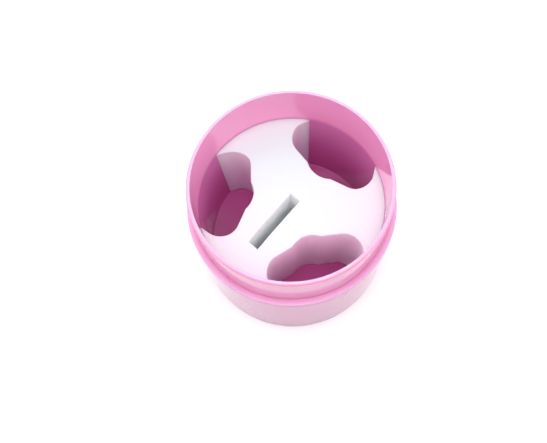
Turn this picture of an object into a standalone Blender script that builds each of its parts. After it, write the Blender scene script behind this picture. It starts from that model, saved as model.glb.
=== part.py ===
"""Open round jar for contact lenses: a double-walled plastic jar holding a cut foam insert.

Frame: +Z up, origin at the centre of the base where the jar stands.
The insert's slot runs along Y, and one of its three pockets faces +Y.
"""
import math

import bmesh
import bpy

# Jar, in metres
BODY_RADIUS = 0.0400            # outer wall below the ledge
JAR_HEIGHT = 0.0680             # table to rim
LEDGE_HEIGHT = 0.0485           # table to the ledge that a lid closes on
RIM_RADIUS = 0.0372             # outside of the neck at the rim
NECK_ROOT_RADIUS = 0.0377       # outside of the neck where it meets the ledge
BORE_TOP_RADIUS = 0.03565       # inside of the cup at the rim
BORE_FLOOR_RADIUS = 0.0355      # inside of the cup at its floor
CUP_FLOOR_HEIGHT = 0.0062       # table to the cup's floor
WALL = 0.0012                   # outer shell wall
CUP_WALL = 0.0013               # inner cup wall and floor
FLANGE_THICKNESS = 0.0013
GAP = 0.0003                    # between pieces that touch on the real jar

# Base of the outer shell
BASE_THICKNESS = 0.0014
BASE_RECESS = 0.0006
FOOT_RING_INNER_RADIUS = 0.0360

# Snap fit between the two walls
COLLAR_DEPTH = 0.0042           # how far the cup's locating collar reaches below its flange
SNAP_DEPTH = 0.0005             # how far the bead stands out, and how deep its groove is
SNAP_HALF_HEIGHT = 0.0006
SNAP_DROP = 0.0024              # flange underside to the middle of the bead

# Edge radii
RIM_INNER_ROUND = 0.00025
RIM_OUTER_ROUND = 0.00125
LEDGE_ROUND = 0.0004
NECK_ROOT_ROUND = 0.0003
BASE_ROUND = 0.0015
CUP_FLOOR_ROUND = 0.0010

# Foam insert
INSERT_RADIUS = 0.0352
INSERT_TOP = 0.0484
POCKET_COUNT = 3
MIDDLE_LOBE_CENTRE = 0.0240     # distance from the jar's axis
MIDDLE_LOBE_RADIUS = 0.0092
LOBE_CROSSING_ANGLE = math.radians(142)     # on the middle lobe, where the side lobes meet it
SIDE_LOBE_CENTRE = 0.0256       # along the pocket's own axis
SIDE_LOBE_OFFSET = 0.0112       # to each side of that axis
SIDE_LOBE_RADIUS = 0.00745
POCKET_MOUTH_ANGLE = math.radians(64)       # on the side lobe, where its straight run to the wall begins
SLOT_WIDTH = 0.0046
SLOT_LENGTH = 0.0248
SLOT_CENTRE_Y = -0.0100

TURN_STEPS = 72
ROUND_SEGMENTS = 4
ARC_STEPS = 10


def clear_scene():
    for item in list(bpy.data.objects):
        bpy.data.objects.remove(item, do_unlink=True)


def new_collection(name):
    collection = bpy.data.collections.new(name)
    bpy.context.scene.collection.children.link(collection)
    return collection


def plastic(name, colour, roughness):
    material = bpy.data.materials.new(name)
    material.use_nodes = True
    shader = material.node_tree.nodes["Principled BSDF"]
    shader.inputs["Base Color"].default_value = (*colour, 1.0)
    shader.inputs["Roughness"].default_value = roughness
    shader.inputs["Metallic"].default_value = 0.0
    return material


def rounded(corners):
    """Turn (radius, height, edge radius) corners into a profile with arcs at its rounded edges."""
    points = []
    for index, (x, z, edge) in enumerate(corners):
        if edge == 0.0:
            points.append((x, z))
            continue
        before = corners[index - 1]
        after = corners[index + 1]
        points.extend(corner_arc((before[0], before[1]), (x, z), (after[0], after[1]), edge))
    return points


def corner_arc(before, corner, after, edge):
    """Points of the arc of radius edge that touches both lines meeting at corner."""
    to_before = unit(before[0] - corner[0], before[1] - corner[1])
    to_after = unit(after[0] - corner[0], after[1] - corner[1])
    cosine = to_before[0] * to_after[0] + to_before[1] * to_after[1]
    half = math.acos(max(-1.0, min(1.0, cosine))) / 2
    middle = unit(to_before[0] + to_after[0], to_before[1] + to_after[1])
    centre = (
        corner[0] + middle[0] * edge / math.sin(half),
        corner[1] + middle[1] * edge / math.sin(half),
    )
    reach = edge / math.tan(half)
    first = (corner[0] + to_before[0] * reach, corner[1] + to_before[1] * reach)
    last = (corner[0] + to_after[0] * reach, corner[1] + to_after[1] * reach)
    start = math.atan2(first[1] - centre[1], first[0] - centre[0])
    sweep = math.atan2(last[1] - centre[1], last[0] - centre[0]) - start
    sweep = (sweep + math.pi) % (2 * math.pi) - math.pi
    return [
        (
            centre[0] + edge * math.cos(start + sweep * step / ROUND_SEGMENTS),
            centre[1] + edge * math.sin(start + sweep * step / ROUND_SEGMENTS),
        )
        for step in range(ROUND_SEGMENTS + 1)
    ]


def unit(x, y):
    length = math.hypot(x, y)
    return (x / length, y / length)


def turned(name, profile, material, collection):
    """Spin a profile, from the axis up the inside and down the outside, round Z."""
    mesh = bpy.data.meshes.new(name)
    points = [(x, 0.0, z) for x, z in profile]
    edges = [(index, index + 1) for index in range(len(points) - 1)]
    mesh.from_pydata(points, edges, [])
    mesh.materials.append(material)
    piece = bpy.data.objects.new(name, mesh)
    collection.objects.link(piece)
    screw = piece.modifiers.new("Turn", "SCREW")
    screw.axis = "Z"
    screw.steps = TURN_STEPS
    screw.render_steps = TURN_STEPS
    screw.use_merge_vertices = True
    screw.merge_threshold = 0.00001
    screw.use_smooth_shade = True
    return piece


def outer_shell(material, collection):
    """Body and base in one moulding, with a groove inside its top edge for the cup's bead."""
    inside = BODY_RADIUS - WALL
    top = LEDGE_HEIGHT - FLANGE_THICKNESS - GAP
    snap = LEDGE_HEIGHT - FLANGE_THICKNESS - SNAP_DROP
    groove = SNAP_HALF_HEIGHT + GAP
    profile = rounded([
        (0.0, BASE_RECESS + BASE_THICKNESS, 0.0),
        (inside, BASE_RECESS + BASE_THICKNESS, 0.0006),
        (inside, snap - groove, 0.0),
        (inside + SNAP_DEPTH, snap, 0.0),
        (inside, snap + groove, 0.0),
        (inside, top, 0.0002),
        (BODY_RADIUS, top, 0.0003),
        (BODY_RADIUS, 0.0, BASE_ROUND),
        (FOOT_RING_INNER_RADIUS, 0.0, 0.0003),
        (FOOT_RING_INNER_RADIUS, BASE_RECESS, 0.0),
        (0.0, BASE_RECESS, 0.0),
    ])
    return turned("outer_shell", profile, material, collection)


def inner_cup(material, collection):
    """Cup, neck, ledge flange and locating collar in one moulding that drops into the shell."""
    under_flange = LEDGE_HEIGHT - FLANGE_THICKNESS
    collar = BODY_RADIUS - WALL - GAP
    snap = under_flange - SNAP_DROP
    outside_floor = BORE_FLOOR_RADIUS + CUP_WALL
    bottom = CUP_FLOOR_HEIGHT - CUP_WALL
    profile = rounded([
        (0.0, CUP_FLOOR_HEIGHT, 0.0),
        (BORE_FLOOR_RADIUS, CUP_FLOOR_HEIGHT, CUP_FLOOR_ROUND),
        (BORE_TOP_RADIUS, JAR_HEIGHT, RIM_INNER_ROUND),
        (RIM_RADIUS, JAR_HEIGHT, RIM_OUTER_ROUND),
        (NECK_ROOT_RADIUS, LEDGE_HEIGHT, NECK_ROOT_ROUND),
        (BODY_RADIUS, LEDGE_HEIGHT, LEDGE_ROUND),
        (BODY_RADIUS, under_flange, 0.0002),
        (collar, under_flange, 0.0),
        (collar, snap + SNAP_HALF_HEIGHT, 0.0),
        (collar + SNAP_DEPTH, snap, 0.0),
        (collar, snap - SNAP_HALF_HEIGHT, 0.0),
        (collar, under_flange - COLLAR_DEPTH, 0.0),
        (outside_floor, under_flange - COLLAR_DEPTH - CUP_WALL, 0.0),
        (outside_floor, bottom, CUP_FLOOR_ROUND),
        (0.0, bottom, 0.0),
    ])
    return turned("inner_cup", profile, material, collection)


def arc(centre, radius, start, end):
    """Points along an arc, both ends included."""
    return [
        (
            centre[0] + radius * math.cos(start + (end - start) * step / ARC_STEPS),
            centre[1] + radius * math.sin(start + (end - start) * step / ARC_STEPS),
        )
        for step in range(ARC_STEPS + 1)
    ]


def lobe_crossing():
    """Where the middle lobe meets a side lobe's straight flank."""
    return (
        MIDDLE_LOBE_CENTRE + MIDDLE_LOBE_RADIUS * math.cos(LOBE_CROSSING_ANGLE),
        MIDDLE_LOBE_RADIUS * math.sin(LOBE_CROSSING_ANGLE),
    )


def flank_angle():
    """Angle on the side lobe where the straight flank from the lobe crossing touches it."""
    crossing = lobe_crossing()
    x = crossing[0] - SIDE_LOBE_CENTRE
    y = crossing[1] - SIDE_LOBE_OFFSET
    return math.atan2(y, x) % (2 * math.pi) - math.acos(SIDE_LOBE_RADIUS / math.hypot(x, y))


def mouth_tip():
    """Where a pocket's straight run meets the insert's outside."""
    x = SIDE_LOBE_CENTRE + SIDE_LOBE_RADIUS * math.cos(POCKET_MOUTH_ANGLE)
    y = SIDE_LOBE_OFFSET + SIDE_LOBE_RADIUS * math.sin(POCKET_MOUTH_ANGLE)
    run = (math.sin(POCKET_MOUTH_ANGLE), -math.cos(POCKET_MOUTH_ANGLE))
    towards = x * run[0] + y * run[1]
    length = -towards + math.sqrt(towards ** 2 - (x * x + y * y) + INSERT_RADIUS ** 2)
    return (x + run[0] * length, y + run[1] * length)


def half_pocket():
    """Outline of a pocket that opens along +X, from its tip at the wall to its middle, Y positive."""
    side_centre = (SIDE_LOBE_CENTRE, SIDE_LOBE_OFFSET)
    side = arc(side_centre, SIDE_LOBE_RADIUS, POCKET_MOUTH_ANGLE, flank_angle())
    middle = arc((MIDDLE_LOBE_CENTRE, 0.0), MIDDLE_LOBE_RADIUS, LOBE_CROSSING_ANGLE, math.pi)
    return [mouth_tip()] + side + middle


def insert_outline():
    """Round outline with three pockets cut in from its edge, anticlockwise from the +Y pocket."""
    half = half_pocket()
    lower = [(x, -y) for x, y in reversed(half[:-1])]
    clockwise = half + lower
    tip = math.atan2(half[0][1], half[0][0])
    between = 2 * math.pi / POCKET_COUNT
    points = []
    for index in range(POCKET_COUNT):
        turn = math.pi / 2 + index * between
        for x, y in reversed(clockwise):
            points.append((
                x * math.cos(turn) - y * math.sin(turn),
                x * math.sin(turn) + y * math.cos(turn),
            ))
        edge = arc((0.0, 0.0), INSERT_RADIUS, turn + tip, turn + between - tip)
        points.extend(edge[1:-1])
    return points


def slot_outline():
    x = SLOT_WIDTH / 2
    low = SLOT_CENTRE_Y - SLOT_LENGTH / 2
    high = SLOT_CENTRE_Y + SLOT_LENGTH / 2
    return [(-x, low), (x, low), (x, high), (-x, high)]


def add_outline(curve, points):
    spline = curve.splines.new("POLY")
    spline.points.add(len(points) - 1)
    for point, (x, y) in zip(spline.points, points):
        point.co = (x, y, 0.0, 1.0)
    spline.use_cyclic_u = True


def insert(material, collection):
    """Foam block with its pockets and slot cut right through."""
    bottom = CUP_FLOOR_HEIGHT + GAP
    curve = bpy.data.curves.new("insert_outline", "CURVE")
    curve.dimensions = "2D"
    curve.fill_mode = "BOTH"
    curve.extrude = (INSERT_TOP - bottom) / 2
    add_outline(curve, insert_outline())
    add_outline(curve, slot_outline())
    flat = bpy.data.objects.new("insert_outline", curve)
    flat.location = (0.0, 0.0, (INSERT_TOP + bottom) / 2)
    collection.objects.link(flat)
    bpy.context.view_layer.update()
    evaluated = flat.evaluated_get(bpy.context.evaluated_depsgraph_get())
    mesh = bpy.data.meshes.new_from_object(evaluated)
    weld(mesh)
    mesh.name = "insert"
    mesh.materials.clear()
    mesh.materials.append(material)
    piece = bpy.data.objects.new("insert", mesh)
    piece.matrix_world = flat.matrix_world.copy()
    collection.objects.link(piece)
    bpy.data.objects.remove(flat, do_unlink=True)
    mesh.shade_smooth()
    mesh.set_sharp_from_angle(angle=math.radians(35))
    return piece


def weld(mesh):
    """Join a curve's loose caps to its sides."""
    body = bmesh.new()
    body.from_mesh(mesh)
    bmesh.ops.remove_doubles(body, verts=body.verts, dist=0.000001)
    bmesh.ops.recalc_face_normals(body, faces=body.faces)
    body.to_mesh(mesh)
    body.free()


def main():
    clear_scene()
    collection = new_collection("contact_lens_jar")
    shell_plastic = plastic("shell_plastic", (0.76, 0.33, 0.52), 0.16)
    cup_plastic = plastic("cup_plastic", (0.76, 0.29, 0.50), 0.14)
    foam = plastic("insert_foam", (0.90, 0.88, 0.90), 0.85)
    outer_shell(shell_plastic, collection)
    inner_cup(cup_plastic, collection)
    insert(foam, collection)


main()
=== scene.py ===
"""Looks of the open contact lens jar: fine turned walls, a cut foam insert, glossy pink plastic."""
import math

import bmesh
import bpy
from mathutils import Matrix, Vector, noise


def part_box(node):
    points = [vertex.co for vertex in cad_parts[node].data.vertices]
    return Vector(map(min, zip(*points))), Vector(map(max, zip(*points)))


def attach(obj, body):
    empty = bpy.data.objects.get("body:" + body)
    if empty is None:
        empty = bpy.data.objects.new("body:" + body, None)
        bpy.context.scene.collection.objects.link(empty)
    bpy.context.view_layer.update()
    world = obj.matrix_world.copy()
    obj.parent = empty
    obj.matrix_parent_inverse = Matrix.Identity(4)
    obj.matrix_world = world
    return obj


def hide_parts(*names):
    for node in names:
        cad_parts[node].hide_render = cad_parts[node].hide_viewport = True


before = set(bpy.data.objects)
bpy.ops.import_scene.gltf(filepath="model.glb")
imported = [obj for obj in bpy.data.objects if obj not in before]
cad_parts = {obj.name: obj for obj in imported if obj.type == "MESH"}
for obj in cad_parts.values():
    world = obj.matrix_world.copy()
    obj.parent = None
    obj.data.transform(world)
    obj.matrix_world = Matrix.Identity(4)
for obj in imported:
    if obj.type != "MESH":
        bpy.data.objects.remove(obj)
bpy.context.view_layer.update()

MM = 0.001

# Heights and radii that the frame gives
SHELL_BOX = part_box("outer_shell")
CUP_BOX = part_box("inner_cup")
INSERT_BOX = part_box("insert")
BODY_RADIUS = CUP_BOX[1].x
JAR_HEIGHT = CUP_BOX[1].z
SHELL_TOP = SHELL_BOX[1].z
CUP_BOTTOM = CUP_BOX[0].z
INSERT_TOP = INSERT_BOX[1].z
INSERT_BOTTOM = INSERT_BOX[0].z

# Turned sections, as the CAD has them
GAP = 0.3 * MM
FLANGE_THICKNESS = 1.3 * MM
LEDGE_HEIGHT = SHELL_TOP + GAP + FLANGE_THICKNESS
RIM_RADIUS = 37.2 * MM
NECK_ROOT_RADIUS = 37.7 * MM
BORE_TOP_RADIUS = 35.65 * MM
BORE_FLOOR_RADIUS = 35.5 * MM
CUP_WALL = 1.3 * MM
CUP_FLOOR_HEIGHT = CUP_BOTTOM + CUP_WALL
SHELL_WALL = 1.2 * MM
BASE_THICKNESS = 1.4 * MM
BASE_RECESS = 0.6 * MM
FOOT_RING_INNER_RADIUS = 36.0 * MM
COLLAR_DEPTH = 4.2 * MM
SNAP_DEPTH = 0.5 * MM
SNAP_HALF_HEIGHT = 0.6 * MM
SNAP_DROP = 2.4 * MM

# Insert outline, as the CAD has it, but pressed out to the wall
INSERT_RADIUS = 35.58 * MM
POCKET_COUNT = 3
MIDDLE_LOBE_CENTRE = 24.0 * MM
MIDDLE_LOBE_RADIUS = 9.2 * MM
LOBE_CROSSING_ANGLE = math.radians(142)
SIDE_LOBE_CENTRE = 25.6 * MM
SIDE_LOBE_OFFSET = 11.2 * MM
SIDE_LOBE_RADIUS = 7.45 * MM
POCKET_MOUTH_ANGLE = math.radians(64)
SLOT_WIDTH = 4.6 * MM
SLOT_LENGTH = 24.8 * MM
SLOT_CENTRE_Y = -10.0 * MM
FOAM_EDGE = 0.2 * MM
EDGE_SEGMENTS = 3
WALL_STEPS = 14
SIDE_LOBE_STEPS = 24
MIDDLE_LOBE_STEPS = 12
BETWEEN_POCKETS_STEPS = 40
SLOT_STEPS = 12
INSET_LIMIT = 0.4

# Where the cut foam isn't quite true: pocket tips lean along the wall, and cuts wander.
# A tip's lean fades out at its reach and is less at the foot. A cut wanders fully from a little
# inside the wall.
TIP_LEANS = (
    (math.radians(179), 2.6 * MM),
    (math.radians(238), -1.0 * MM),
    (math.radians(62), 1.0 * MM),
)
TIP_REACH = 15.0 * MM
LEAN_AT_FOOT = 0.35
CUT_WANDER = 0.22 * MM
CUT_SEED = 1
WANDER_PITCH = 7.0 * MM
WANDER_PITCH_DOWN = 24.0 * MM
WANDER_FREE = 4.0 * MM

TURN_SEGMENTS = 256
ROUND_SEGMENTS = 10
HOLD = 0.05 * MM

# Size of a face normal's Z: above the first the face is level, below the second it is upright
LEVEL_NORMAL = 0.999
UPRIGHT_NORMAL = 0.1

# Colours of the plastic
# Painted shade: the shell's colour at its foot, darker where the floor is near
SHELL_FOOT_SHADED = (0.40, 0.11, 0.26)
SHELL_SIDE = (0.485, 0.13, 0.31)
# Painted shade deep in the cup, and painted light and sheen high on its wall
CUP_DEEP_SHADED = (0.56, 0.10, 0.33)
CUP_WALL_HIGH_LIT = (0.75, 0.24, 0.54)
# Painted glow: the inside of the neck, lighter for light passing through the thin wall
CUP_NECK_GLOW = (1.0, 0.435, 0.71)
CUP_OUTSIDE = (0.68, 0.225, 0.425)
# Painted glow: a redder band outside just under the lip, for light passing through the thin wall
CUP_LIP_GLOW = (0.75, 0.25, 0.44)
# Painted light and sheen: the ledge is lighter and more lilac away from the neck, with painted shade
# nearer its root
CUP_LEDGE_LIT = (0.735, 0.355, 0.64)
# Painted glow: the thin rim, lighter and more lilac for light passing through its edge
CUP_RIM_GLOW = (0.70, 0.42, 0.62)

# Colours of the foam
SKIN = (0.67, 0.725, 0.75)
SKIN_MOTTLE = (0.65, 0.705, 0.735)
# Painted light: the foam's top is lighter near the cup's wall, for light coming through the plastic
SKIN_LIT_BY_WALL = (0.83, 0.84, 0.87)
# Painted shade and pink bounce light deep in the cuts, and painted light high on them
CUT_DEEP_SHADED = (0.86, 0.66, 0.84)
CUT_HIGH_LIT = (0.95, 0.91, 0.96)
# Painted light: the cuts towards the front are lighter, as lit from the front
CUT_FRONT_LIT = (1.0, 0.92, 1.0)
# Painted light: the brim of the cuts, just under the top, is lightest
CUT_BRIM_LIT = (0.98, 0.96, 1.0)
# Painted shade: the block's outer side, against the cup wall, is painted grey
BLOCK_SIDE_SHADED = (0.60, 0.60, 0.62)
SLOT_SIDE = (0.96, 0.99, 1.0)

# Colours of the stage's floor
FLOOR_PALE = (0.90, 0.90, 0.905)
FLOOR_DULL = (0.88, 0.88, 0.885)

# The floor lies just under the jar's foot and reaches past the view's horizon
FLOOR_SIZE = 60.0
FLOOR_DROP = 0.02 * MM

# Camera, from the fit of its view to the jar's circles
VIEW_AZIMUTH = math.radians(47.7)
VIEW_ELEVATION = math.radians(71.17)
VIEW_DISTANCE = 211.95 * MM
VIEW_AIM = (-7.69 * MM, -13.60 * MM)
VIEW_ROLL = -0.1349
LENS = 40.51
SENSOR = 36.0

# Tent cloth from the horizon to overhead, and patches in it: azimuth clockwise from behind the camera,
# elevation, inner and outer angle from the centre, all in degrees, and strength
CLOTH_LOW = 0.70
CLOTH_HIGH = 1.12
OPENING = (-4, 0, 30, 66, 0.1)
LAMPS = (
    (195, 62, 12, 42, 0.9),
    (0, 72, 10, 28, 3.0),
    (90, 20, 15, 50, 0.4),
    (-90, 20, 15, 50, 0.3),
)


# Materials

def new_material(name):
    material = bpy.data.materials.new(name)
    material.use_nodes = True
    nodes = material.node_tree.nodes
    return material, nodes, material.node_tree.links, nodes["Principled BSDF"]


def add_noise(nodes, links, coordinates, scale, detail):
    texture = nodes.new("ShaderNodeTexNoise")
    texture.inputs["Scale"].default_value = scale
    texture.inputs["Detail"].default_value = detail
    links.new(coordinates, texture.inputs["Vector"])
    return texture.outputs["Fac"]


def add_range(nodes, links, value, low, high):
    spread = nodes.new("ShaderNodeMapRange")
    spread.inputs["To Min"].default_value = low
    spread.inputs["To Max"].default_value = high
    links.new(value, spread.inputs["Value"])
    return spread.outputs["Result"]


def mix_colours(nodes, links, factor, first, second):
    """From first to second as factor rises. Each is a fixed colour or a node's output."""
    mix = nodes.new("ShaderNodeMix")
    mix.data_type = "RGBA"
    links.new(factor, mix.inputs[0])
    for index, colour in ((6, first), (7, second)):
        if isinstance(colour, tuple):
            mix.inputs[index].default_value = (*colour, 1.0)
        else:
            links.new(colour, mix.inputs[index])
    return mix.outputs[2]


def add_bump(nodes, links, shader, height, strength, distance):
    bump = nodes.new("ShaderNodeBump")
    bump.inputs["Strength"].default_value = strength
    bump.inputs["Distance"].default_value = distance
    links.new(height, bump.inputs["Height"])
    links.new(bump.outputs["Normal"], shader.inputs["Normal"])


def add_step(nodes, links, value, edge, width):
    """1 above edge, 0 below it, over the given width."""
    step = nodes.new("ShaderNodeMapRange")
    step.interpolation_type = "SMOOTHSTEP"
    step.inputs["From Min"].default_value = edge - width / 2
    step.inputs["From Max"].default_value = edge + width / 2
    links.new(value, step.inputs["Value"])
    return step.outputs["Result"]


def combine(nodes, links, operation, first, second):
    result = nodes.new("ShaderNodeMath")
    result.operation = operation
    links.new(first, result.inputs[0])
    links.new(second, result.inputs[1])
    return result.outputs["Value"]


def add_height_and_radius(nodes, links, place):
    """Height, and distance from the jar's axis, of the point being shaded."""
    axes = nodes.new("ShaderNodeSeparateXYZ")
    links.new(place, axes.inputs["Vector"])
    level = nodes.new("ShaderNodeCombineXYZ")
    links.new(axes.outputs["X"], level.inputs["X"])
    links.new(axes.outputs["Y"], level.inputs["Y"])
    reach = nodes.new("ShaderNodeVectorMath")
    reach.operation = "LENGTH"
    links.new(level.outputs["Vector"], reach.inputs[0])
    return axes.outputs["Z"], reach.outputs["Value"]


def add_cloud(nodes, links, place, factor):
    """The factor with a faint cloudy unevenness, as in pigment that isn't fully mixed."""
    cloud = nodes.new("ShaderNodeMath")
    cloud.operation = "ADD"
    links.new(factor, cloud.inputs[0])
    links.new(add_range(nodes, links, add_noise(nodes, links, place, 60.0, 2.0), -0.08, 0.08),
              cloud.inputs[1])
    cloud.use_clamp = True
    return cloud.outputs["Value"]


def polish(nodes, links, place, shader, low, high):
    """Glossy moulded skin with faint smears and ripples. Its roughness runs from low to high."""
    smear = add_noise(nodes, links, place, 220.0, 3.0)
    links.new(add_range(nodes, links, smear, low, high), shader.inputs["Roughness"])
    add_bump(nodes, links, shader, add_noise(nodes, links, place, 90.0, 1.0), 0.01, 0.2 * MM)
    shader.inputs["IOR"].default_value = 1.6


def shell_material(name):
    """Pink plastic, painted darker at the foot as shade near the floor, with a slightly duller skin than
    the cup's.
    """
    material, nodes, links, shader = new_material(name)
    place = nodes.new("ShaderNodeTexCoord").outputs["Object"]
    height = add_height_and_radius(nodes, links, place)[0]
    # Painted shade: darker towards the foot
    rise = add_cloud(nodes, links, place, add_step(nodes, links, height, 5.0 * MM, 16.0 * MM))
    shade = mix_colours(nodes, links, rise, SHELL_FOOT_SHADED, SHELL_SIDE)
    links.new(shade, shader.inputs["Base Color"])
    polish(nodes, links, place, shader, 0.06, 0.10)
    return material


def cup_material(name):
    """Pink plastic with painted light and shade. The neck lets light through, so it is painted lighter
    than the deep double wall; the deep wall is painted darker, the band under the lip and the rim painted
    lighter, and the ledge painted lighter away from the neck.
    """
    material, nodes, links, shader = new_material(name)
    place = nodes.new("ShaderNodeTexCoord").outputs["Object"]
    height, radius = add_height_and_radius(nodes, links, place)
    # Painted shade deep in the cup, fading to painted light and sheen high on the wall
    rise = add_cloud(nodes, links, place, add_step(nodes, links, height, 31.0 * MM, 40.0 * MM))
    shade = mix_colours(nodes, links, rise, CUP_DEEP_SHADED, CUP_WALL_HIGH_LIT)
    # Painted glow above the ledge
    neck = add_step(nodes, links, height, LEDGE_HEIGHT + 0.7 * MM, 3.4 * MM)
    shade = mix_colours(nodes, links, neck, shade, CUP_NECK_GLOW)
    outside = add_step(nodes, links, radius, 36.5 * MM, 0.6 * MM)
    shade = mix_colours(nodes, links, outside, shade, CUP_OUTSIDE)
    # Painted glow in a band outside, just under the lip
    lip = add_step(nodes, links, height, JAR_HEIGHT - 2.2 * MM, 0.6 * MM)
    lip_outside = combine(nodes, links, "MULTIPLY", lip, outside)
    shade = mix_colours(nodes, links, lip_outside, shade, CUP_LIP_GLOW)
    # Painted light and sheen on the ledge, away from the shaded neck root
    ledge = add_step(nodes, links, radius, NECK_ROOT_RADIUS + 1.0 * MM, 1.8 * MM)
    shade = mix_colours(nodes, links, ledge, shade, CUP_LEDGE_LIT)
    # Painted glow of the thin rim
    rim = add_step(nodes, links, height, JAR_HEIGHT - 0.4 * MM, 0.5 * MM)
    shade = mix_colours(nodes, links, rim, shade, CUP_RIM_GLOW)
    links.new(shade, shader.inputs["Base Color"])
    polish(nodes, links, place, shader, 0.005, 0.03)
    links.new(add_range(nodes, links, neck, 0.0, 0.5), shader.inputs["Subsurface Weight"])
    shader.inputs["Subsurface Radius"].default_value = (1.0, 0.5, 0.75)
    shader.inputs["Subsurface Scale"].default_value = 2.0 * MM
    return material


def foam(name):
    """White closed-cell foam. Its cuts are painted with shade and pink bounce light from the cup, most
    when deep or at the rear, and painted lighter at the front and the brim; the skin is painted lighter
    near the wall and the block's outer side painted grey.
    """
    material, nodes, links, shader = new_material(name)
    place = nodes.new("ShaderNodeTexCoord").outputs["Object"]
    cells = nodes.new("ShaderNodeTexVoronoi")
    cells.inputs["Scale"].default_value = 3200.0
    links.new(place, cells.inputs["Vector"])
    mottle = add_noise(nodes, links, place, 400.0, 4.0)
    skin = mix_colours(nodes, links, mottle, SKIN, SKIN_MOTTLE)
    height, radius = add_height_and_radius(nodes, links, place)
    # Painted light on the top near the wall
    lit_by_wall = add_step(nodes, links, radius, 31.0 * MM, 16.0 * MM)
    skin = mix_colours(nodes, links, lit_by_wall, skin, SKIN_LIT_BY_WALL)
    # Painted shade and pink bounce light deep in the cuts, painted light higher up
    rise = add_step(nodes, links, height, INSERT_TOP - 13.0 * MM, 26.0 * MM)
    cut = mix_colours(nodes, links, rise, CUT_DEEP_SHADED, CUT_HIGH_LIT)
    # Painted light on the cuts towards the front
    forward = nodes.new("ShaderNodeVectorMath")
    forward.operation = "DOT_PRODUCT"
    forward.inputs[1].default_value = view_direction(20, 0)
    links.new(place, forward.inputs[0])
    front = add_step(nodes, links, forward.outputs["Value"], 12.0 * MM, 12.0 * MM)
    cut = mix_colours(nodes, links, front, cut, CUT_FRONT_LIT)
    # Painted shade on the block's outer side
    block_side_shaded = add_step(nodes, links, radius, INSERT_RADIUS - 0.08 * MM, 0.08 * MM)
    cut = mix_colours(nodes, links, block_side_shaded, cut, BLOCK_SIDE_SHADED)
    # Painted light at the brim of the cuts
    brim = add_step(nodes, links, height, INSERT_TOP - 0.8 * MM, 0.6 * MM)
    cut = mix_colours(nodes, links, brim, cut, CUT_BRIM_LIT)
    in_slot = nodes.new("ShaderNodeAttribute")
    in_slot.attribute_name = "slot_wall"
    cut = mix_colours(nodes, links, in_slot.outputs["Fac"], cut, SLOT_SIDE)
    upright = nodes.new("ShaderNodeSeparateXYZ")
    links.new(nodes.new("ShaderNodeTexCoord").outputs["Normal"], upright.inputs["Vector"])
    top = add_step(nodes, links, upright.outputs["Z"], 0.5, 0.2)
    links.new(mix_colours(nodes, links, top, cut, skin), shader.inputs["Base Color"])
    shader.inputs["Subsurface Weight"].default_value = 0.4
    shader.inputs["Subsurface Radius"].default_value = (1.0, 1.0, 1.0)
    shader.inputs["Subsurface Scale"].default_value = 4.0 * MM
    shader.inputs["Roughness"].default_value = 0.8
    shader.inputs["Specular IOR Level"].default_value = 0.25
    add_bump(nodes, links, shader, cells.outputs["Distance"], 0.25, 0.1 * MM)
    return material


def floor_material(name):
    material, nodes, links, shader = new_material(name)
    place = nodes.new("ShaderNodeTexCoord").outputs["Object"]
    tone = add_noise(nodes, links, place, 3.0, 2.0)
    links.new(mix_colours(nodes, links, tone, FLOOR_PALE, FLOOR_DULL),
              shader.inputs["Base Color"])
    shader.inputs["Roughness"].default_value = 0.6
    shader.inputs["Emission Color"].default_value = (1.0, 1.0, 1.0, 1.0)
    shader.inputs["Emission Strength"].default_value = 0.05
    return material


# Turned walls

def unit(x, y):
    length = math.hypot(x, y)
    return (x / length, y / length)


def corner_arc(before, corner, after, edge):
    """Points of the arc of radius edge that touches both lines meeting at corner."""
    to_before = unit(before[0] - corner[0], before[1] - corner[1])
    to_after = unit(after[0] - corner[0], after[1] - corner[1])
    half = math.acos(to_before[0] * to_after[0] + to_before[1] * to_after[1]) / 2
    middle = unit(to_before[0] + to_after[0], to_before[1] + to_after[1])
    centre = (
        corner[0] + middle[0] * edge / math.sin(half),
        corner[1] + middle[1] * edge / math.sin(half),
    )
    reach = edge / math.tan(half)
    first = (corner[0] + to_before[0] * reach, corner[1] + to_before[1] * reach)
    last = (corner[0] + to_after[0] * reach, corner[1] + to_after[1] * reach)
    start = math.atan2(first[1] - centre[1], first[0] - centre[0])
    sweep = math.atan2(last[1] - centre[1], last[0] - centre[0]) - start
    sweep = (sweep + math.pi) % (2 * math.pi) - math.pi
    points = []
    for step in range(ROUND_SEGMENTS + 1):
        angle = start + sweep * step / ROUND_SEGMENTS
        points.append((centre[0] + edge * math.cos(angle), centre[1] + edge * math.sin(angle)))
    return points


def beside(point, towards):
    """The point a little way along the line, which keeps an arc's shading out of the straight wall."""
    x, z = unit(towards[0] - point[0], towards[1] - point[1])
    return (point[0] + x * HOLD, point[1] + z * HOLD)


def rounded(corners):
    """Turn (radius, height, edge radius) corners into a profile with arcs at its rounded edges."""
    points = []
    for index, (x, z, edge) in enumerate(corners):
        if edge == 0.0:
            points.append((x, z))
            continue
        before = corners[index - 1]
        after = corners[index + 1]
        arc_points = corner_arc(before[:2], (x, z), after[:2], edge)
        points.append(beside(arc_points[0], before))
        points.extend(arc_points)
        points.append(beside(arc_points[-1], after))
    return points


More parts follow.
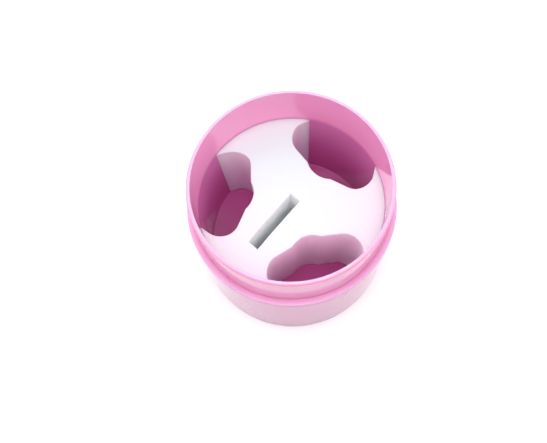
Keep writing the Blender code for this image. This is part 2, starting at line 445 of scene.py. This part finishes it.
def turned(name, profile, material):
    """Spin a profile round Z: it starts and ends on the axis, up the inside and down the outside."""
    body = bmesh.new()
    rings = []
    for radius, height in profile:
        if radius == 0.0:
            rings.append([body.verts.new((0.0, 0.0, height))])
            continue
        ring = []
        for step in range(TURN_SEGMENTS):
            angle = 2 * math.pi * step / TURN_SEGMENTS
            ring.append(body.verts.new((radius * math.cos(angle), radius * math.sin(angle), height)))
        rings.append(ring)
    for inner, outer in zip(rings, rings[1:]):
        for step in range(TURN_SEGMENTS):
            after = (step + 1) % TURN_SEGMENTS
            if len(inner) == 1:
                body.faces.new((inner[0], outer[step], outer[after]))
            elif len(outer) == 1:
                body.faces.new((inner[after], inner[step], outer[0]))
            else:
                body.faces.new((inner[step], outer[step], outer[after], inner[after]))
    bmesh.ops.recalc_face_normals(body, faces=body.faces)
    return finished_mesh(name, body, material, 30)


def finished_mesh(name, body, material, sharp_degrees):
    mesh = bpy.data.meshes.new(name)
    body.to_mesh(mesh)
    body.free()
    mesh.materials.append(material)
    mesh.shade_smooth()
    mesh.set_sharp_from_angle(angle=math.radians(sharp_degrees))
    piece = bpy.data.objects.new(name, mesh)
    bpy.context.scene.collection.objects.link(piece)
    return piece


def shell_profile():
    inside = BODY_RADIUS - SHELL_WALL
    snap = LEDGE_HEIGHT - FLANGE_THICKNESS - SNAP_DROP
    groove = SNAP_HALF_HEIGHT + GAP
    inner_floor = BASE_RECESS + BASE_THICKNESS
    return rounded([
        (0.0, inner_floor, 0.0),
        (inside, inner_floor, 0.6 * MM),
        (inside, snap - groove, 0.0),
        (inside + SNAP_DEPTH, snap, 0.0),
        (inside, snap + groove, 0.0),
        (inside, SHELL_TOP, 0.2 * MM),
        (BODY_RADIUS, SHELL_TOP, 0.3 * MM),
        (BODY_RADIUS, 0.0, 1.5 * MM),
        (FOOT_RING_INNER_RADIUS, 0.0, 0.3 * MM),
        (FOOT_RING_INNER_RADIUS, BASE_RECESS, 0.15 * MM),
        (0.0, BASE_RECESS, 0.0),
    ])


def cup_profile():
    under_flange = LEDGE_HEIGHT - FLANGE_THICKNESS
    collar = BODY_RADIUS - SHELL_WALL - GAP
    snap = under_flange - SNAP_DROP
    outside_floor = BORE_FLOOR_RADIUS + CUP_WALL
    return rounded([
        (0.0, CUP_FLOOR_HEIGHT, 0.0),
        (BORE_FLOOR_RADIUS, CUP_FLOOR_HEIGHT, 0.4 * MM),
        (BORE_TOP_RADIUS, JAR_HEIGHT, 0.25 * MM),
        (RIM_RADIUS, JAR_HEIGHT, 1.25 * MM),
        (NECK_ROOT_RADIUS, LEDGE_HEIGHT, 0.3 * MM),
        (BODY_RADIUS, LEDGE_HEIGHT, 0.4 * MM),
        (BODY_RADIUS, under_flange, 0.2 * MM),
        (collar, under_flange, 0.0),
        (collar, snap + SNAP_HALF_HEIGHT, 0.0),
        (collar + SNAP_DEPTH, snap, 0.0),
        (collar, snap - SNAP_HALF_HEIGHT, 0.0),
        (collar, under_flange - COLLAR_DEPTH, 0.0),
        (outside_floor, under_flange - COLLAR_DEPTH - CUP_WALL, 0.0),
        (outside_floor, CUP_BOTTOM, 1.0 * MM),
        (0.0, CUP_BOTTOM, 0.0),
    ])


# Foam insert

def arc(centre, radius, start, end, steps):
    """Points along an arc, both ends included."""
    points = []
    for step in range(steps + 1):
        angle = start + (end - start) * step / steps
        points.append((centre[0] + radius * math.cos(angle), centre[1] + radius * math.sin(angle)))
    return points


def half_pocket():
    """Outline of a pocket that opens along +X, from its tip at the wall to its middle, Y positive."""
    side_centre = (SIDE_LOBE_CENTRE, SIDE_LOBE_OFFSET)
    start = (
        SIDE_LOBE_CENTRE + SIDE_LOBE_RADIUS * math.cos(POCKET_MOUTH_ANGLE),
        SIDE_LOBE_OFFSET + SIDE_LOBE_RADIUS * math.sin(POCKET_MOUTH_ANGLE),
    )
    run = (math.sin(POCKET_MOUTH_ANGLE), -math.cos(POCKET_MOUTH_ANGLE))
    towards = start[0] * run[0] + start[1] * run[1]
    reach = towards ** 2 - start[0] ** 2 - start[1] ** 2 + INSERT_RADIUS ** 2
    length = -towards + math.sqrt(reach)
    tip = (start[0] + run[0] * length, start[1] + run[1] * length)
    crossing = (
        MIDDLE_LOBE_CENTRE + MIDDLE_LOBE_RADIUS * math.cos(LOBE_CROSSING_ANGLE),
        MIDDLE_LOBE_RADIUS * math.sin(LOBE_CROSSING_ANGLE),
    )
    x = crossing[0] - SIDE_LOBE_CENTRE
    y = crossing[1] - SIDE_LOBE_OFFSET
    flank = math.atan2(y, x) % (2 * math.pi) - math.acos(SIDE_LOBE_RADIUS / math.hypot(x, y))
    side = arc(side_centre, SIDE_LOBE_RADIUS, POCKET_MOUTH_ANGLE, flank, SIDE_LOBE_STEPS)
    middle = arc((MIDDLE_LOBE_CENTRE, 0.0), MIDDLE_LOBE_RADIUS, LOBE_CROSSING_ANGLE, math.pi,
                 MIDDLE_LOBE_STEPS)
    return [tip] + side + middle


def insert_outline():
    """Round outline with three pockets cut in from its edge, anticlockwise from the +Y pocket."""
    half = half_pocket()
    clockwise = half + [(x, -y) for x, y in reversed(half[:-1])]
    tip = math.atan2(half[0][1], half[0][0])
    between = 2 * math.pi / POCKET_COUNT
    points = []
    for index in range(POCKET_COUNT):
        turn = math.pi / 2 + index * between
        cosine = math.cos(turn)
        sine = math.sin(turn)
        for x, y in reversed(clockwise):
            points.append((x * cosine - y * sine, x * sine + y * cosine))
        edge = arc((0.0, 0.0), INSERT_RADIUS, turn + tip, turn + between - tip,
                   BETWEEN_POCKETS_STEPS)
        points.extend(edge[1:-1])
    return points


def slot_outline():
    x = SLOT_WIDTH / 2
    low = SLOT_CENTRE_Y - SLOT_LENGTH / 2
    levels = [low + SLOT_LENGTH * step / SLOT_STEPS for step in range(SLOT_STEPS + 1)]
    return [(x, y) for y in levels] + [(-x, y) for y in reversed(levels)]


def inset(points, distance):
    """The anticlockwise outline moved inwards, or outwards where distance is negative.

    INSET_LIMIT keeps a point at a sharp corner from moving too far.
    """
    moved = []
    for index, (x, y) in enumerate(points):
        before = points[index - 1]
        after = points[(index + 1) % len(points)]
        arriving = unit(x - before[0], y - before[1])
        leaving = unit(after[0] - x, after[1] - y)
        across = (-arriving[1] - leaving[1], arriving[0] + leaving[0])
        scale = distance / max(INSET_LIMIT, 1.0 + arriving[0] * leaving[0] + arriving[1] * leaving[1])
        moved.append((x + across[0] * scale, y + across[1] * scale))
    return moved


def cut_unevenly(x, y, z):
    """Where a point of the true outline lands in soft foam: tips lean along the wall, and cuts wander."""
    height = (z - INSERT_BOTTOM) / (INSERT_TOP - INSERT_BOTTOM)
    spot = Vector((x, y))
    radius = spot.length
    lean = Vector((0.0, 0.0))
    for turn, most in TIP_LEANS:
        tip = Vector((math.cos(turn), math.sin(turn))) * INSERT_RADIUS
        near = max(0.0, 1.0 - (spot - tip).length / TIP_REACH)
        share = near * near * (3.0 - 2.0 * near) * (LEAN_AT_FOOT + (1.0 - LEAN_AT_FOOT) * height)
        lean += Vector((-math.sin(turn), math.cos(turn))) * most * share
    spot = (spot + lean).normalized() * radius
    loose = min(1.0, max(0.0, (INSERT_RADIUS - radius) / WANDER_FREE))
    place = Vector((x / WANDER_PITCH, y / WANDER_PITCH, z / WANDER_PITCH_DOWN))
    wander = noise.noise_vector(place) * loose * CUT_WANDER
    return (spot.x + wander.x, spot.y + wander.y, z)


def foam_rings(body, outline, sense):
    """Rings of the outline from bottom to top, with a soft edge at both ends."""
    slot_wall = body.verts.layers.float["slot_wall"]
    levels = []
    for step in range(EDGE_SEGMENTS + 1):
        angle = math.pi / 2 * step / EDGE_SEGMENTS
        levels.append((FOAM_EDGE * (1 - math.sin(angle)), FOAM_EDGE * (1 - math.cos(angle))))
    low = [(cut, INSERT_BOTTOM + rise) for cut, rise in levels]
    high = [(cut, INSERT_TOP - rise) for cut, rise in reversed(levels)]
    wall = []
    straight = INSERT_TOP - INSERT_BOTTOM - 2 * FOAM_EDGE
    for step in range(1, WALL_STEPS):
        part = step / WALL_STEPS
        wall.append((0.0, INSERT_BOTTOM + FOAM_EDGE + part * straight))
    rings = []
    for cut, z in low + wall + high:
        points = inset(outline, cut * sense)
        ring = [body.verts.new(cut_unevenly(x, y, z)) for x, y in points]
        for vertex in ring:
            vertex[slot_wall] = 0.5 - sense / 2
        rings.append(ring)
    for lower, upper in zip(rings, rings[1:]):
        for index, vertex in enumerate(lower):
            after = (index + 1) % len(lower)
            body.faces.new((vertex, lower[after], upper[after], upper[index]))
    return rings


def cap(body, loops):
    edges = []
    for loop in loops:
        for index, vertex in enumerate(loop):
            edges.append(body.edges.get((vertex, loop[(index + 1) % len(loop)])))
    bmesh.ops.triangle_fill(body, edges=edges, use_beauty=True)


def crease_flat_edges(mesh):
    """Keep the top, the underside and the upright walls flat beside their soft edges."""
    tilts = {}
    for face in mesh.polygons:
        for key in face.edge_keys:
            tilts.setdefault(key, []).append(abs(face.normal.z))
    for edge in mesh.edges:
        low, high = sorted(tilts[edge.key])
        if low < LEVEL_NORMAL < high or low < UPRIGHT_NORMAL < high:
            edge.use_edge_sharp = True


def foam_block(material):
    body = bmesh.new()
    body.verts.layers.float.new("slot_wall")
    # Without a seed, noise_vector differs from run to run.
    noise.seed_set(CUT_SEED)
    outer = foam_rings(body, insert_outline(), 1)
    slot = foam_rings(body, slot_outline(), -1)
    cap(body, (outer[0], slot[0]))
    cap(body, (outer[-1], slot[-1]))
    bmesh.ops.recalc_face_normals(body, faces=body.faces)
    block = finished_mesh("foam_insert", body, material, 35)
    crease_flat_edges(block.data)
    return block


# Stage

def camera():
    back = Vector((0.0, -math.cos(VIEW_ELEVATION), math.sin(VIEW_ELEVATION)))
    aim = Vector((VIEW_AIM[0], VIEW_AIM[1], JAR_HEIGHT))
    right = Vector((1.0, 0.0, 0.0))
    up = back.cross(right)
    tilted_right = right * math.cos(VIEW_ROLL) + up * math.sin(VIEW_ROLL)
    tilted_up = up * math.cos(VIEW_ROLL) - right * math.sin(VIEW_ROLL)
    turn = Matrix((tilted_right, tilted_up, back)).transposed().to_4x4()
    data = bpy.data.cameras.new("camera")
    data.lens = LENS
    data.sensor_width = SENSOR
    data.clip_start = 10.0 * MM
    eye = bpy.data.objects.new("camera", data)
    place = Matrix.Translation(aim + back * VIEW_DISTANCE) @ turn
    eye.matrix_world = Matrix.Rotation(VIEW_AZIMUTH, 4, "Z") @ place
    bpy.context.scene.collection.objects.link(eye)
    bpy.context.scene.camera = eye


def view_direction(azimuth, elevation):
    """Unit vector, by degrees clockwise from behind the camera and degrees above the floor."""
    turn = math.radians(azimuth) + VIEW_AZIMUTH
    rise = math.radians(elevation)
    return (math.sin(turn) * math.cos(rise), -math.cos(turn) * math.cos(rise), math.sin(rise))


def sky_patch(nodes, links, direction, centre, inner, outer, low, high):
    """high within inner degrees of the centre, fading to low at outer degrees."""
    towards = nodes.new("ShaderNodeVectorMath")
    towards.operation = "DOT_PRODUCT"
    towards.inputs[1].default_value = centre
    links.new(direction, towards.inputs[0])
    patch = nodes.new("ShaderNodeMapRange")
    patch.interpolation_type = "SMOOTHSTEP"
    patch.inputs["From Min"].default_value = math.cos(math.radians(outer))
    patch.inputs["From Max"].default_value = math.cos(math.radians(inner))
    patch.inputs["To Min"].default_value = low
    patch.inputs["To Max"].default_value = high
    links.new(towards.outputs["Value"], patch.inputs["Value"])
    return patch.outputs["Result"]


def sky():
    """White light tent, brightest overhead, with a dim opening in front and lamps behind its cloth."""
    world = bpy.data.worlds.new("studio")
    world.use_nodes = True
    nodes = world.node_tree.nodes
    links = world.node_tree.links
    direction = nodes.new("ShaderNodeTexCoord").outputs["Generated"]
    rise = nodes.new("ShaderNodeSeparateXYZ")
    links.new(direction, rise.inputs["Vector"])
    light = add_range(nodes, links, rise.outputs["Z"], CLOTH_LOW, CLOTH_HIGH)
    azimuth, elevation, inner, outer, strength = OPENING
    centre = view_direction(azimuth, elevation)
    opening = sky_patch(nodes, links, direction, centre, inner, outer, 1.0, strength)
    light = combine(nodes, links, "MULTIPLY", light, opening)
    for azimuth, elevation, inner, outer, strength in LAMPS:
        centre = view_direction(azimuth, elevation)
        lamp = sky_patch(nodes, links, direction, centre, inner, outer, 0.0, strength)
        light = combine(nodes, links, "ADD", light, lamp)
    nodes["Background"].inputs["Color"].default_value = (1.0, 1.0, 1.0, 1.0)
    links.new(light, nodes["Background"].inputs["Strength"])
    bpy.context.scene.world = world


def studio():
    bpy.ops.mesh.primitive_plane_add(size=FLOOR_SIZE, location=(0.0, 0.0, -FLOOR_DROP))
    floor = bpy.context.active_object
    floor.name = "floor"
    floor.data.materials.append(floor_material("floor_white"))
    sky()
    bpy.context.scene.view_settings.view_transform = "Standard"


def main():
    shell = turned("shell_body", shell_profile(), shell_material("shell_plastic"))
    cup = turned("cup_body", cup_profile(), cup_material("cup_plastic"))
    block = foam_block(foam("insert_foam"))
    for piece, body, node, slot in (
        (shell, "jar", "outer_shell", "shell_plastic"),
        (cup, "jar", "inner_cup", "cup_plastic"),
        (block, "insert", "insert", "insert_foam"),
    ):
        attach(piece, body)
        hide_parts(node)
    camera()
    studio()


main()
